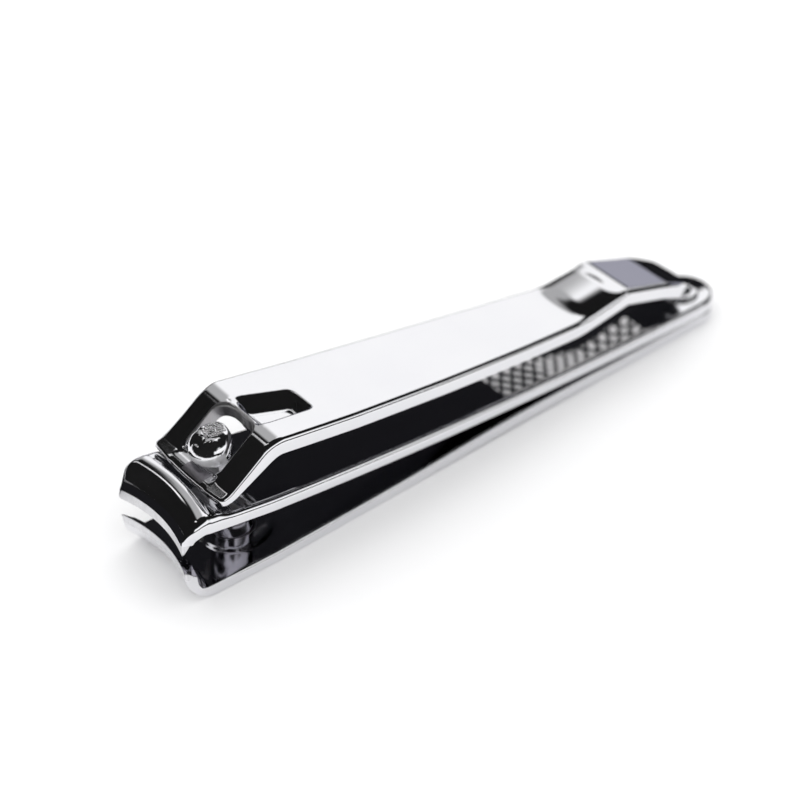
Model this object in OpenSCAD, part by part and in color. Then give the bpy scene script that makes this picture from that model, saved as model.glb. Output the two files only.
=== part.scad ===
// Nail clipper: two spring-steel strips riveted at the tail, with a lever hooked on a leaning pin.
// It lies on the table along X, cutting edge to the front at -X, Z up.
// The frame's origin is the bottom centre; shapes are drawn with x = 0 at the cutting edge.

/* [Overall] */
// Overall length from the cutting edge to the rounded tail
length = 84; // [78:1:92]
// Width of the strips behind the cutting edge
jaw_w = 14; // [13:0.5:15]
// Width of the strips at the tail, before the rounded end
tail_w = 7.8; // [7:0.2:9]

/* [Strips] */
// Thickness of each spring-steel strip
strip_t = 1.6; // [1.5:0.05:1.7]
// Height of the lower cutting edge above the table
edge_low = 4.73; // [4.5:0.05:4.8]
// Height of the upper cutting edge above the table
edge_high = 7.13; // [7.1:0.05:7.6]
// Chord of the concave cutting edge
edge_chord = 13.2; // [12.6:0.1:13.6]
// How far the middle of the cutting edge lies behind its corners
edge_sag = 1.1; // [0.6:0.1:1.4]
// Rise of the arch in the middle of the lower strip
arch_h = 0.45; // [0.3:0.05:0.48]
// Height of the crowned head behind the upper cutting edge
head_top = 10.9; // [10.7:0.1:11]

/* [Lever] */
// Thickness of the lever
lever_t = 2.0; // [1.8:0.05:2.1]
// Thickness of the lever's coined cross bar
tip_t = 1.0; // [0.9:0.05:1.3]
// Width of the lever at its elbow
lever_w = 13.7; // [13:0.1:13.8]
// Width of the pin window in the lever
window_w = 6.8; // [6.6:0.1:7.2]
// Depth of the pressed trough behind the window
trough_d = 1.5; // [1:0.1:1.8]

/* [Pin] */
// Diameter of the pin shank
pin_d = 4.9; // [4.7:0.05:5]
// Diameter of the pin head
head_d = 5.1; // [5:0.05:5.2]
// Forward lean of the pin from the vertical
pin_lean = 7; // [6:0.5:8]
// Length of the pin from its foot flange to the top of its head
pin_len = 15; // [14.6:0.1:15.2]
// Diameter of the foot flange of the pin
foot_d = 6.8; // [6.4:0.1:7]

/* [Tail rivet] */
// Outer diameter of the hollow rivet
rivet_d = 3.2; // [3:0.1:3.4]
// Bore of the hollow rivet, for a chain or ring
rivet_bore = 2.2; // [2:0.1:2.4]

/* [Hidden] */
$fn = 64;

chrome = "silver";
origin = [-length / 2, 0, 0];
far = 200;                  // wider than any piece

// ---- Shared helpers ----

// extrude a profile drawn in X-Z across the width
module across(width = far) {
    rotate([90, 0, 0]) linear_extrude(width, center = true) children();
}

function unit(v) = v / norm(v);
function point(row) = [row[0], row[1]];

// points of the arc that rounds the corner at "mid"
function corner(before, mid, after, radius, steps = 10) =
    let (way_in = unit(mid - before),
         way_out = unit(after - mid),
         bend = atan2(cross(way_in, way_out), way_in * way_out),
         side = sign(bend),
         start = mid - radius * tan(abs(bend) / 2) * way_in,
         centre = start + side * radius * [-way_in[1], way_in[0]],
         start_angle = atan2(way_in[1], way_in[0]) - 90 * side)
    [for (i = [0:steps])
        let (angle = start_angle + bend * i / steps)
        centre + radius * [cos(angle), sin(angle)]];

// polyline through rows of [x, z, corner radius]; the radii of the two ends are unused
function rounded(rows) =
    let (last = len(rows) - 1)
    concat([point(rows[0])],
        [for (i = [1:last - 1])
            each corner(point(rows[i - 1]), point(rows[i]), point(rows[i + 1]), rows[i][2])],
        [point(rows[last])]);

// shallow parabola across the width, its ends "sweep" behind its middle at x
function front_curve(x, sweep, half_w, steps) =
    [for (i = [-steps:steps]) [x + sweep * pow(i / steps, 2), -half_w * i / steps]];

// ---- Strips ----

rivet_x = length - 4.5;
shoulder_x = 1.6;           // full width starts
taper_x = 12;               // taper to the tail starts
strip_x = 5.4;              // front end of the plain strip, inside the lip
strip_end = length + 2;     // past the tail, trimmed by the plan
strip_gap = 0.03;           // between the strips at the rivet
plan_h = 30;                // taller than either jaw
arch_x = [24, 74];          // ends of the lower strip's arch

// underside of the lower strip along its arch
function arch(x) = arch_h * pow(sin(180 * (x - arch_x[0]) / (arch_x[1] - arch_x[0])), 2);

// underside and top of the upper strip, a spring curve that closes at the rivet
function under(x) =
    let (ahead = max(0, rivet_x - x))
    strip_t + strip_gap + 0.030 * ahead + 0.00085 * pow(ahead, 2);
function over(x) = under(x) + strip_t;

// plan outline of a strip: parallel behind the jaws, tapered, round tail
module strip_plan() {
    tail_x = length - tail_w / 2;
    polygon([
        [0, -edge_chord / 2], [shoulder_x, -jaw_w / 2], [taper_x, -jaw_w / 2],
        [tail_x, -tail_w / 2], [tail_x, tail_w / 2],
        [taper_x, jaw_w / 2], [shoulder_x, jaw_w / 2], [0, edge_chord / 2]
    ]);
    translate([tail_x, 0]) circle(d = tail_w);
}

// concave cutting edge: radius from the chord and the sag
edge_r = (pow(edge_chord / 2, 2) + pow(edge_sag, 2)) / (2 * edge_sag);
sweep_angle = 50;

// sweep a lip section, drawn as [distance behind the edge, height], round the front curve
module lip_sweep(section) {
    translate([edge_sag - edge_r, 0, 0]) rotate([0, 0, -sweep_angle / 2])
        rotate_extrude(angle = sweep_angle, $fn = 180)
            polygon([for (p = section) [edge_r + p[0], p[1]]]);
}

// ---- Pin axis ----

pin_x = 10.6;
pin_z = 1.0;

// local Z runs up the pin from the top of its foot flange
module on_pin() {
    translate([pin_x, 0, pin_z]) rotate([0, -pin_lean, 0]) children();
}

// ---- Lower jaw ----

bend_r = 4;                 // outer radius of the upturned lip
bend_in = bend_r - strip_t;
low_lip_end = 9;
pin_fit = 0.06;             // radial clearance round the shank

low_lip = concat(
    [[0, edge_low]],
    [for (a = [0:9:90]) bend_r * [1 - cos(a), 1 - sin(a)]],
    [[low_lip_end, 0], [low_lip_end, strip_t]],
    [for (a = [90:-9:9]) [bend_r - bend_in * cos(a), bend_r - bend_in * sin(a)]],
    [[strip_t, 3.9]]);

// arched strip behind the lip
module low_strip() {
    across() polygon(concat(
        [[strip_x, 0]],
        [for (x = [arch_x[0]:2:arch_x[1]]) [x, arch(x)]],
        [[strip_end, 0], [strip_end, strip_t]],
        [for (x = [arch_x[1]:-2:arch_x[0]]) [x, arch(x) + strip_t]],
        [[strip_x, strip_t]]));
}

module lower_jaw() {
    color(chrome) translate(origin) difference() {
        intersection() {
            linear_extrude(plan_h) strip_plan();
            union() {
                low_strip();
                lip_sweep(low_lip);
                // raised pad round the pin
                translate([pin_x, 0, 0.6]) cylinder(d = foot_d + 2.4, h = strip_t);
            }
        }
        // recess for the foot flange, and hole for the shank
        on_pin() translate([0, 0, -4]) cylinder(d = foot_d + 0.2, h = 4.05);
        on_pin() translate([0, 0, -4]) cylinder(d = pin_d + 2 * pin_fit, h = 12);
        // rivet hole, countersunk below
        translate([rivet_x, 0, -1]) cylinder(d = rivet_d, h = 4);
        translate([rivet_x, 0, -0.01]) cylinder(d1 = rivet_d + 1.4, d2 = rivet_d, h = 0.7);
    }
}

// ---- Upper jaw ----

head_r = 2.8;               // crown at the front of the head
head_x = 2.6 + edge_sag;    // front end of the straight profile, inside the lip
head_under = under(strip_x);
high_lip_end = 3.9;
hollow_r = 1.7;             // hollow behind the edge
hollow_x = 3.2;

high_lip = concat(
    [[0, edge_high], [0, 8.5]],
    [for (a = [10:8:90]) [head_r - head_r * cos(a), head_top - head_r + head_r * sin(a)]],
    [[high_lip_end, head_top], [high_lip_end, head_under]],
    [for (a = [90:-10:40])
        [hollow_x - hollow_r * cos(a), head_under - hollow_r + hollow_r * sin(a)]]);

// top of the head and its step down to the strip: [x, z, corner radius]
head_step = [
    [head_x, head_top, 0], [5.0, head_top, 0.8],
    [6.3, over(6.3) + 0.25, 0.8], [8, over(8), 0]
];

// sprung strip with the head at its front
module high_strip() {
    across() polygon(concat(
        rounded(head_step),
        [for (x = [10:2:78]) [x, over(x)]],
        [[rivet_x, over(rivet_x)], [strip_end, over(rivet_x)]],
        [[strip_end, under(rivet_x)], [rivet_x, under(rivet_x)]],
        [for (x = [78:-2:6]) [x, under(x)]],
        [[strip_x, head_under], [head_x, head_under]]));
}

module upper_jaw() {
    color(chrome) translate(origin) difference() {
        intersection() {
            linear_extrude(plan_h) strip_plan();
            union() {
                high_strip();
                lip_sweep(high_lip);
            }
        }
        // loose hole for the pin, set slightly back
        translate([0.12, 0, 0]) on_pin() cylinder(d = pin_d + 1.4, h = 14);
        translate([rivet_x, 0, 0]) cylinder(d = rivet_d + 0.2, h = 6);
    }
}

// ---- Lever ----

tip_x = 4.9;
elbow_x = 12.6;
elbow_z = 16.9;
dip_x = 58.8;               // lowest point ahead of the hump near the end
lever_end = 79.6;
end_len = 6.4;              // length of the rounded end
side_end = 73;              // end of the tapered sides
side_step = 2.1;
lever_taper = 0.047;        // half width lost per mm
lever_bow = 0.37;           // extra half width at mid length

// top surface from the tip to the end: [x, z, corner radius]
lever_top = rounded([
    [tip_x, 12.05, 0], [6.7, 12.65, 1], [elbow_x, elbow_z, 4.2], [24, 14.97, 60],
    [38, 12.97, 120], [50, 11.43, 60], [dip_x, 10.45, 20], [66.9, 11.35, 2.2],
    [74.0, 9.05, 2.6], [lever_end, 5.6, 0]
]);

// thickness at x, growing from the cross bar to the full lever
function thickness(x) = tip_t + (lever_t - tip_t) * min(1, max(0, (x - 5.6) / 6));

// unit normal on the lower side of a path that runs backward
function down(path, i) =
    let (along = unit(path[min(len(path) - 1, i + 1)] - path[max(0, i - 1)]))
    [along[1], -along[0]];

// band between a path and its offset below
function band(path) = concat(path,
    [for (i = [len(path) - 1:-1:0]) path[i] + thickness(path[i][0]) * down(path, i)]);

// half width: a long taper that bows out a little between elbow and dip
function lever_half(x) = lever_w / 2 - lever_taper * (x - elbow_x)
    + (x > elbow_x && x < dip_x
        ? lever_bow * pow(sin(180 * (x - elbow_x) / (dip_x - elbow_x)), 0.7)
        : 0);

module lever_plan() {
    end_x = lever_end - end_len;
    polygon(concat(
        front_curve(x = tip_x, sweep = 0.9, half_w = 6.9, steps = 6),
        [for (x = [elbow_x:side_step:side_end]) [x, -lever_half(x)]],
        [for (a = [-90:7.5:90]) [end_x + end_len * cos(a), lever_half(end_x) * sin(a)]],
        [for (x = [side_end:-side_step:elbow_x]) [x, lever_half(x)]]));
}

// window for the pin, seen in plan: bowed front, straight sides, cut-off round back
module window_plan() {
    back_x = 11.4;
    half_w = window_w / 2;
    polygon(concat(
        front_curve(x = 6.9, sweep = 0.5, half_w = half_w, steps = 4),
        [[back_x, -half_w], [back_x, half_w]]));
    translate([back_x, 0]) intersection() {
        circle(d = window_w, $fn = 96);
        translate([0, -half_w]) square([1.7, window_w]);
    }
}

// straight line of the lever's top behind the elbow
function flat_top(x) = elbow_z - (x - elbow_x) * 0.1693;

// wedge-shaped trough behind the window, grown on all sides;
// "lid" is the height of its top over the lever's top
module trough(grow, lid) {
    front = 13.3;
    back = 20.6;
    front_half = 3.0 + grow;
    back_half = 1.7 + grow;
    x0 = front - grow;
    x1 = back + grow;
    intersection() {
        linear_extrude(40) polygon([
            [x0, -front_half], [x1, -back_half], [x1, back_half], [x0, front_half]
        ]);
        across() polygon([
            [x0, flat_top(front) - 0.5 - grow],
            [15.2, flat_top(15.2) - trough_d - grow],
            [19.2, flat_top(19.2) - trough_d - grow],
            [x1, flat_top(back) - 0.4 - grow],
            [x1, flat_top(back) + lid],
            [x0, flat_top(front) + lid]
        ]);
    }
}

module lever() {
    color(chrome) translate(origin) difference() {
        union() {
            intersection() {
                linear_extrude(40) lever_plan();
                across() polygon(band(lever_top));
            }
            // metal round the trough
            trough(grow = 1.3, lid = -0.4);
        }
        translate([0, 0, 5]) linear_extrude(30) window_plan();
        trough(grow = 0, lid = 2);
    }
}

// ---- Pivot pin ----

foot_t = 0.55;
waist_d = 3.4;
notch_z = 9.2;
notch_front = -pin_d / 2 - 1;
notch_back = -pin_d / 2 + 1.7;

// waist, flared head and domed top: [radius, distance below the top]
pin_top = [
    [pin_d / 2, 5.6], [waist_d / 2, 4.8], [waist_d / 2, 4],
    [head_d / 2, 1.7], [head_d / 2, 1.1], [head_d / 2 - 0.4, 0.5],
    [head_d / 2 - 1, 0.1], [head_d / 2 - 1.3, 0]
];

module pivot_pin() {
    color(chrome) translate(origin) on_pin() difference() {
        union() {
            translate([0, 0, -foot_t]) cylinder(d = foot_d, h = foot_t);
            rotate_extrude() polygon(concat(
                [[0, 0], [pin_d / 2, 0]],
                [for (p = pin_top) [p[0], pin_len - p[1]]],
                [[0, pin_len]]));
        }
        // notch that the lever's cross bar hooks into, open to the front
        translate([0, 0, notch_z]) across(12) polygon([
            [notch_front, -0.6], [notch_back, 0.4], [notch_back, 2.5],
            [-pin_d / 2 + 0.5, 3.5], [notch_front, 3.6]
        ]);
    }
}

// ---- Tail rivet ----

module tail_rivet() {
    stack = 2 * strip_t;
    color(chrome) translate(origin) translate([rivet_x, 0, 0]) difference() {
        union() {
            cylinder(d = rivet_d, h = stack + 0.3);
            // countersunk foot and rolled rim
            cylinder(d1 = rivet_d + 1.38, d2 = rivet_d, h = 0.69);
            translate([0, 0, stack + 0.13])
                cylinder(d1 = rivet_d + 1.8, d2 = rivet_d + 1.0, h = 0.4);
        }
        translate([0, 0, -1]) cylinder(d = rivet_bore, h = 8);
    }
}

lower_jaw();
upper_jaw();
lever();
pivot_pin();
tail_rivet();
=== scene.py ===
"""Nail clipper with a file under its lever, lying on a white floor.

The length runs along X, with the cutting edge towards -X and the tail towards +X; Y is the width
and Z is up. Design numbers are millimetres with x = 0 at the cutting edge; make_object() turns
them into metres and centres the length on the origin. The jaws and the lever are sheet pieces:
their outlines are drawn in (along, y), where along is the arc length of a side profile.
"""
import math
import bpy
import numpy as np
from mathutils import Matrix, Vector, noise
from mathutils.geometry import delaunay_2d_cdt


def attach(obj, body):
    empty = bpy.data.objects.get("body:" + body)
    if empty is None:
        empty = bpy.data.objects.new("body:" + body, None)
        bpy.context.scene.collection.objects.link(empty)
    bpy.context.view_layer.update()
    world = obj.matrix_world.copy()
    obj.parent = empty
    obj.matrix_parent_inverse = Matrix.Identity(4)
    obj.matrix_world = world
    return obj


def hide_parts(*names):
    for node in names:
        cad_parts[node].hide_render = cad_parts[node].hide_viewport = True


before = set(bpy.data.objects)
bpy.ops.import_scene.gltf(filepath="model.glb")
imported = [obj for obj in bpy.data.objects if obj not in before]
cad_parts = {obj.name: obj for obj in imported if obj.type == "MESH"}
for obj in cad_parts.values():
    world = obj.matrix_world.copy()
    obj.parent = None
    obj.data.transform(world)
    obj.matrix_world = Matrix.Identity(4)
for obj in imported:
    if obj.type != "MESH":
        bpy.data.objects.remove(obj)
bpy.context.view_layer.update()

# ---------------------------------------------------------------- driving dimensions (mm)
LENGTH = 84.0
JAW_W, TAIL_W = 14.0, 7.8
STRIP_T = 1.6                            # thickness of both jaws
SHARP_T = 0.05                           # thickness at the cutting edge
BEVEL_LEN = 1.7                          # length over which the jaws thicken
EDGE_LOW, EDGE_HIGH = 4.73, 7.13         # heights of the two cutting edges
EDGE_CHORD, EDGE_SAG = 13.2, 1.1         # width of the cutting edge and depth of its curve
LIP_R = 4.0                              # outer bend of the lower lip
ARCH_H, ARCH_START, ARCH_END = 0.45, 24, 74
TAPER_START = 12                         # x where the jaws start to narrow
HEAD_TOP = 10.9                          # crown of the upper lip
FACET_Z = 8.5                            # top of the ground facet on the upper lip
LEVER_W, LEVER_T, TIP_T = 13.7, 2.0, 1.0
WINDOW_W = 6.8
PIN_X, PIN_Z = 10.6, 1.0
PIN_D, HEAD_D, FOOT_D = 4.9, 5.1, 6.8
PIN_LEAN, PIN_LEN = 7.0, 15.0            # lean in degrees, towards -X
RIVET_X = LENGTH - 4.5
RIVET_D, RIVET_BORE = 3.2, 2.2

# Centre line of the lever's outer face: x, z, corner radius.
LEVER_LINE = [
    (4.9, 12.05, 0), (6.7, 12.65, 1), (12.6, 16.88, 4.2), (24, 14.95, 60),
    (38, 12.95, 120), (50, 11.41, 60), (58.8, 10.43, 5), (66.9, 11.33, 2.2),
    (74.0, 9.03, 2.6), (77.7, 7.2, 2.5), (79.6, 5.6, 0),
]
FILE_PITCH, FILE_ANGLE = 1.38, math.radians(37.5)

RIM_STEPS = 5                            # segments in each rounded rim
HOLE_INNER_R = 0.12                      # rim radius of holes on the inner face


def ease(value, start, end):
    """0 to 1 as value goes from start to end, flat at both ends."""
    t = np.clip((np.asarray(value, float) - start) / (end - start), 0, 1)
    return t * t * t * (t * (6 * t - 15) + 10)


def arch(x):
    """Height of the lower jaw's underside above the floor."""
    x = np.asarray(x, float)
    rise = ARCH_H * np.sin(np.pi * (x - ARCH_START) / (ARCH_END - ARCH_START)) ** 2
    return np.where((x < ARCH_START) | (x > ARCH_END), 0.0, rise)


def upper_underside(x):
    """Height of the upper jaw's underside, which springs away from the lower jaw."""
    reach = np.maximum(0, RIVET_X - np.asarray(x, float))
    return STRIP_T + 0.03 + 0.030 * reach + 0.00085 * reach * reach


def strip_half_width(x):
    x = np.asarray(x, float)
    front = EDGE_CHORD / 2 + (JAW_W - EDGE_CHORD) / 2 * ease(x, -0.4, 2.4)
    taper = (x - TAPER_START) / (LENGTH - TAIL_W / 2 - TAPER_START)
    back = JAW_W / 2 - (JAW_W - TAIL_W) / 2 * taper
    return np.where(x < TAPER_START, front, back)


def strip_thickness(along):
    bevel = np.clip(np.asarray(along, float) / BEVEL_LEN, 0, 1) ** 0.8
    return SHARP_T + (STRIP_T - SHARP_T) * bevel


def edge_sag(y):
    """How far the middle of the cutting edge is set back, towards +X."""
    return EDGE_SAG * (1 - np.clip(np.abs(y) / (EDGE_CHORD / 2), 0, 1.08) ** 2)


def side_rise(y):
    """0 at the -Y side to 1 at the +Y side."""
    return np.clip((np.asarray(y, float) + 6.9) / 13.8, 0, 1) ** 1.4


# ---------------------------------------------------------------- curves
def corner_arc(before, corner, after, radius, steps):
    """Points of the arc that rounds one corner."""
    before, corner, after = (np.array(p, float) for p in (before, corner, after))
    arrive, leave = corner - before, after - corner
    turn = math.atan2(arrive[0] * leave[1] - arrive[1] * leave[0], float(arrive @ leave))
    sign = 1 if turn > 0 else -1
    arrive = arrive / np.linalg.norm(arrive)
    start = corner - radius * math.tan(abs(turn) / 2) * arrive
    centre = start + sign * radius * np.array([-arrive[1], arrive[0]])
    first = math.atan2(arrive[1], arrive[0]) - math.pi / 2 * sign
    angles = [first + turn * k / steps for k in range(steps + 1)]
    return [centre + radius * np.array([math.cos(a), math.sin(a)]) for a in angles]


def rounded_line(table, steps=24):
    """Open line through rows of (x, z, radius)."""
    points = [row[:2] for row in table]
    line = [points[0]]
    for i in range(1, len(points) - 1):
        line += corner_arc(points[i - 1], points[i], points[i + 1], table[i][2], steps)
    return line + [points[-1]]


def rounded_loop(table, steps):
    """Closed loop through rows of (along, y, radius)."""
    points = [row[:2] for row in table]
    loop = []
    for i, row in enumerate(table):
        loop += corner_arc(points[i - 1], points[i], points[(i + 1) % len(table)], row[2], steps)
    return np.array(loop)


def circle(along, radius, count=48):
    angles = np.linspace(0, 2 * math.pi, count, endpoint=False)
    return np.array([(along + radius * math.cos(a), radius * math.sin(a)) for a in angles])


class Profile:
    """Line in X-Z measured by arc length; side +1 puts the outer face on the left of travel."""

    def __init__(self, corners, side):
        points = [np.array(corners[0], float)]
        for corner in corners[1:]:
            corner = np.array(corner, float)
            last = points[-1]
            gap = np.linalg.norm(corner - last)
            if gap < 1e-6:
                continue
            count = max(1, int(math.ceil(gap / 0.12)))
            points += [last + (corner - last) * k / count for k in range(1, count + 1)]
        self.points = np.array(points)
        legs = np.diff(self.points, axis=0)
        self.along = np.concatenate([[0], np.cumsum(np.linalg.norm(legs, axis=1))])
        self.length = self.along[-1]
        self.side = side
        # direction at each point, averaged over five points
        leg_angle = np.unwrap(np.arctan2(legs[:, 1], legs[:, 0]))
        angle = np.empty(len(points))
        angle[0], angle[-1] = leg_angle[0], leg_angle[-1]
        angle[1:-1] = (leg_angle[1:] + leg_angle[:-1]) / 2
        padded = np.concatenate([[angle[0]] * 2, angle, [angle[-1]] * 2])
        self.angle = np.convolve(padded, np.ones(5) / 5.0, "valid")

    def at(self, along):
        """Point, tangent and outward normal, each as (x, z); goes straight on past the ends."""
        x = np.interp(along, self.along, self.points[:, 0])
        z = np.interp(along, self.along, self.points[:, 1])
        angle = np.interp(along, self.along, self.angle)
        past = np.minimum(along, 0.0) + np.maximum(along - self.length, 0.0)
        tangent_x, tangent_z = np.cos(angle), np.sin(angle)
        point = (x + past * tangent_x, z + past * tangent_z)
        return point, (tangent_x, tangent_z), (-self.side * tangent_z, self.side * tangent_x)

    def x_at(self, along):
        return self.at(along)[0][0]

    def along_at(self, x):
        return float(np.interp(x, self.points[:, 0], self.along))


# ---------------------------------------------------------------- flat loops
def resample(loop, step):
    """Closed loop at even spacing."""
    loop = np.array(loop, float)
    loop = np.concatenate([loop, loop[:1]])
    along = np.concatenate([[0], np.cumsum(np.linalg.norm(np.diff(loop, axis=0), axis=1))])
    count = max(8, int(round(along[-1] / step)))
    t = np.linspace(0, along[-1], count + 1)
    return np.stack([np.interp(t, along, loop[:, 0]), np.interp(t, along, loop[:, 1])], 1)[:-1]


def oriented(loop, sign):
    """The loop, counter-clockwise for sign +1 and clockwise for -1."""
    x, y = loop[:, 0], loop[:, 1]
    area = 0.5 * np.sum(x * np.roll(y, -1) - y * np.roll(x, -1))
    return loop[::-1] if area * sign < 0 else loop


def loop_normals(loop):
    """Unit vectors into the material at each corner, and their stretch for an even inset."""
    legs = np.roll(loop, -1, 0) - loop
    legs /= np.linalg.norm(legs, axis=1)[:, None]
    left = np.stack([-legs[:, 1], legs[:, 0]], 1)
    mitre = left + np.roll(left, 1, 0)
    mitre /= np.linalg.norm(mitre, axis=1)[:, None]
    return mitre, 1.0 / np.clip((mitre * left).sum(1), 0.5, 1)


def inside(loop, points):
    x, y = points[:, 0], points[:, 1]
    result = np.zeros(len(points), bool)
    for i in range(len(loop)):
        x0, y0 = loop[i]
        x1, y1 = loop[(i + 1) % len(loop)]
        if y0 == y1:
            continue
        crosses = (y0 > y) != (y1 > y)
        result ^= crosses & (x < (x1 - x0) * (y - y0) / (y1 - y0) + x0)
    return result


def on_material(loops, points):
    """True inside the first loop and outside the others."""
    result = inside(loops[0], points)
    for hole in loops[1:]:
        result &= ~inside(hole, points)
    return result


def near(points, loops, distance):
    """True where a point is nearer than distance to any loop."""
    border = np.concatenate([resample(loop, distance * 0.8) for loop in loops])
    result = np.zeros(len(points), bool)
    for i in range(0, len(points), 2000):
        batch = points[i:i + 2000]
        squared = ((batch[:, None, :] - border[None]) ** 2).sum(2).min(1)
        result[i:i + 2000] = squared < distance * distance
    return result


def triangulate(loops, points):
    """Counter-clockwise triangles over the loops, then the loose points, within the material."""
    corners = np.concatenate(loops + [points])
    edges, first = [], 0
    for loop in loops:
        count = len(loop)
        edges += [(first + i, first + (i + 1) % count) for i in range(count)]
        first += count
    vectors = [Vector((float(a), float(b))) for a, b in corners]
    _, _, faces, origins, _, _ = delaunay_2d_cdt(vectors, edges, [], 0, 1e-7)
    source = np.array([origin[0] if origin else -1 for origin in origins])
    triangles = source[np.array([list(face) for face in faces if len(face) == 3])]
    triangles = triangles[(triangles >= 0).all(1)]
    triangles = triangles[on_material(loops, corners[triangles].mean(1))]
    a, b, c = (corners[triangles[:, i]] for i in range(3))
    area = (b[:, 0] - a[:, 0]) * (c[:, 1] - a[:, 1]) - (b[:, 1] - a[:, 1]) * (c[:, 0] - a[:, 0])
    solid = np.abs(area) > 1e-10
    triangles, area = triangles[solid], area[solid]
    triangles[area < 0] = triangles[area < 0][:, ::-1]
    return triangles


# ---------------------------------------------------------------- meshes
def make_object(name, points, faces, materials, material_ids=None, normals=None):
    """Smooth-shaded object from points in design millimetres."""
    points = np.array(points, float)
    points[:, 0] -= LENGTH / 2
    points *= 0.001
    mesh = bpy.data.meshes.new(name)
    mesh.from_pydata([tuple(p) for p in points], [], [tuple(int(i) for i in f) for f in faces])
    mesh.polygons.foreach_set("use_smooth", np.ones(len(mesh.polygons), bool))
    for material in materials:
        mesh.materials.append(material)
    if material_ids is None:
        material_ids = [0] * len(faces)
    mesh.polygons.foreach_set("material_index", np.array(material_ids, np.int32))
    mesh.update()
    if normals is not None:
        normals = normals / np.maximum(np.linalg.norm(normals, axis=1), 1e-9)[:, None]
        mesh.normals_split_custom_set_from_vertices([tuple(n) for n in normals])
    obj = bpy.data.objects.new(name, mesh)
    bpy.context.scene.collection.objects.link(obj)
    return obj


def register(obj, piece, rides):
    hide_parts(piece)
    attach(obj, rides)


def flat(along, y):
    return np.zeros_like(along)


def unwarped(along, y, points):
    return points


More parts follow.
